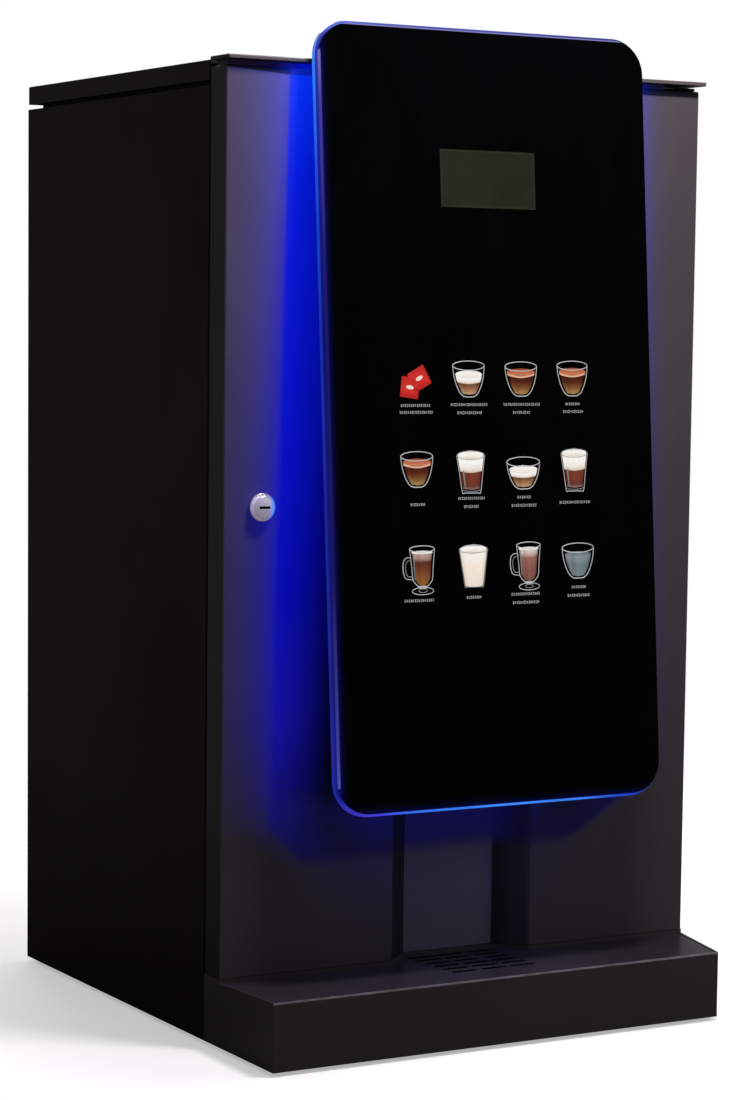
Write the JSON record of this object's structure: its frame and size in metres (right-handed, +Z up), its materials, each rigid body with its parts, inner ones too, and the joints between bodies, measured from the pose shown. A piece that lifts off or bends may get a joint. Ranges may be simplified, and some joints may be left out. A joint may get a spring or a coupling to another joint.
{
  "type": "hot drinks vending machine",
  "caption": "Tall black table-top hot coffee machine with a hinged door, leaning black glass front edged by blue light, cup recess and drip tray.",
  "frame": {"origin": "on the standing surface, under the middle of the machine's overall box", "axes": "+X to the right seen from the front, +Y towards the back, +Z up"},
  "size_m": [0.404, 0.426, 0.727],
  "materials": {
    "panel_black": "satin black powder coat",
    "satin_dark": "dark anthracite satin sheet metal",
    "cap_dark": "satin dark sheet metal",
    "glass_black": "polished black-backed glass with screen-printed drink pictures",
    "light_guide_acrylic": "edge-lit polished acrylic",
    "led_white": "silicone-coated strip",
    "lock_chrome": "polished",
    "hinge_steel": "zinc plated",
    "inner_steel": "brushed",
    "housing_plastic": "fine texture",
    "rubber_black": "matte",
    "canister_clear": "smoky translucent",
    "food_white": "food-grade white",
    "hopper_smoke": "smoked translucent",
    "motor_grey": "moulded",
    "bin_black": "moulded",
    "brass": "turned",
    "board_green": "solder-masked board",
    "hose_silicone": "translucent silicone",
    "display_dark": "unlit LCD"
  },
  "bodies": {
    "cabinet": {"base_pan": "inner_steel", "left_side_panel": "panel_black", "right_side_panel": "panel_black", "rear_panel": "panel_black", "rear_panel_screws": "hinge_steel", "top_frame": "panel_black", "bulkhead_plate": "inner_steel", "canister_shelf": "inner_steel", "mixer_bracket": "inner_steel", "rubber_feet": "rubber_black", "hinge_arms": "hinge_steel", "powder_canisters": "canister_clear", "canister_lids": "housing_plastic", "powder_outlets": "food_white", "auger_motors": "motor_grey", "mixing_bowls": "food_white", "mixer_motors": "motor_grey", "bean_hopper": "hopper_smoke", "grinder_body": "motor_grey", "brew_frame": "food_white", "brew_chamber": "food_white", "coffee_chute": "food_white", "grounds_bin": "bin_black", "boiler_tank": "inner_steel", "water_pump": "motor_grey", "solenoid_valves": "brass", "power_supply_box": "inner_steel", "fan_housing": "housing_plastic", "mains_inlet": "housing_plastic", "water_inlet_fitting": "brass", "outlet_block": "food_white", "drink_hoses": "hose_silicone"},
    "door": {"door_face": "satin_dark", "splash_panel": "satin_dark", "door_liner": "inner_steel", "door_bushes": "brass", "door_top_cap": "cap_dark", "glass_housing": "housing_plastic", "light_guide": "light_guide_acrylic", "glass_panel": "glass_black", "display_module": "display_dark", "touch_board": "board_green", "control_board": "board_green", "led_strips": "led_white", "drink_chute": "housing_plastic", "lock_body": "lock_chrome"},
    "lock": {"lock_plug": "lock_chrome"},
    "lid": {"top_lid": "panel_black"},
    "tray": {"drip_tray_box": "satin_dark"},
    "grille": {"drip_tray_cover": "satin_dark"},
    "shutter": {"hopper_shutter": "inner_steel"},
    "auger_l": {"auger_left": "food_white"},
    "auger_m": {"auger_middle": "food_white"},
    "auger_r": {"auger_right": "food_white"},
    "whip_l": {"whipper_left": "food_white"},
    "whip_r": {"whipper_right": "food_white"},
    "burr": {"grinder_burr": "inner_steel"},
    "fan": {"fan_rotor": "housing_plastic"},
    "piston": {"brew_piston": "food_white"},
    "rocker": {"power_switch": "housing_plastic"}
  },
  "joints": [
    {"name": "door_hinge", "type": "hinge", "parent": "cabinet", "child": "door", "pos_m": [0.1936, -0.122, 0.37], "axis": [0, 0, 1], "range_deg": [0, 120]},
    {"name": "lock_turn", "type": "hinge", "parent": "door", "child": "lock", "pos_m": [-0.17, -0.12, 0.387], "axis": [0, 1, 0], "range_deg": [0, 90]},
    {"name": "lid_hinge", "type": "hinge", "parent": "cabinet", "child": "lid", "pos_m": [0, 0.206, 0.691], "axis": [-1, 0, 0], "range_deg": [0, 75]},
    {"name": "tray_slide", "type": "slide", "parent": "cabinet", "child": "tray", "axis": [0, -1, 0], "range_m": [0, 0.15]},
    {"name": "grille_lift", "type": "slide", "parent": "tray", "child": "grille", "axis": [0, 0, 1], "range_m": [0, 0.05]},
    {"name": "shutter_slide", "type": "slide", "parent": "cabinet", "child": "shutter", "axis": [0, -1, 0], "range_m": [0, 0.04]},
    {"name": "auger_left_spin", "type": "hinge", "parent": "cabinet", "child": "auger_l", "pos_m": [-0.153, 0, 0.364], "axis": [0, 1, 0], "continuous": true},
    {"name": "auger_middle_spin", "type": "hinge", "parent": "cabinet", "child": "auger_m", "pos_m": [-0.079, 0, 0.364], "axis": [0, 1, 0], "continuous": true},
    {"name": "auger_right_spin", "type": "hinge", "parent": "cabinet", "child": "auger_r", "pos_m": [-0.005, 0, 0.364], "axis": [0, 1, 0], "continuous": true},
    {"name": "whipper_left_spin", "type": "hinge", "parent": "cabinet", "child": "whip_l", "pos_m": [-0.116, -0.04, 0.228], "axis": [0, 1, 0], "continuous": true},
    {"name": "whipper_right_spin", "type": "hinge", "parent": "cabinet", "child": "whip_r", "pos_m": [-0.005, -0.04, 0.228], "axis": [0, 1, 0], "continuous": true},
    {"name": "burr_spin", "type": "hinge", "parent": "cabinet", "child": "burr", "pos_m": [0.128, 0.03, 0.48], "axis": [0, 0, 1], "continuous": true},
    {"name": "fan_spin", "type": "hinge", "parent": "cabinet", "child": "fan", "pos_m": [0.09, 0.19, 0.59], "axis": [0, 1, 0], "continuous": true},
    {"name": "piston_slide", "type": "slide", "parent": "cabinet", "child": "piston", "axis": [0, 0, -1], "range_m": [0, 0.048]},
    {"name": "rocker_tilt", "type": "hinge", "parent": "cabinet", "child": "rocker", "pos_m": [-0.14, 0.205, 0.088], "axis": [1, 0, 0], "range_deg": [0, 9]}
  ]
}
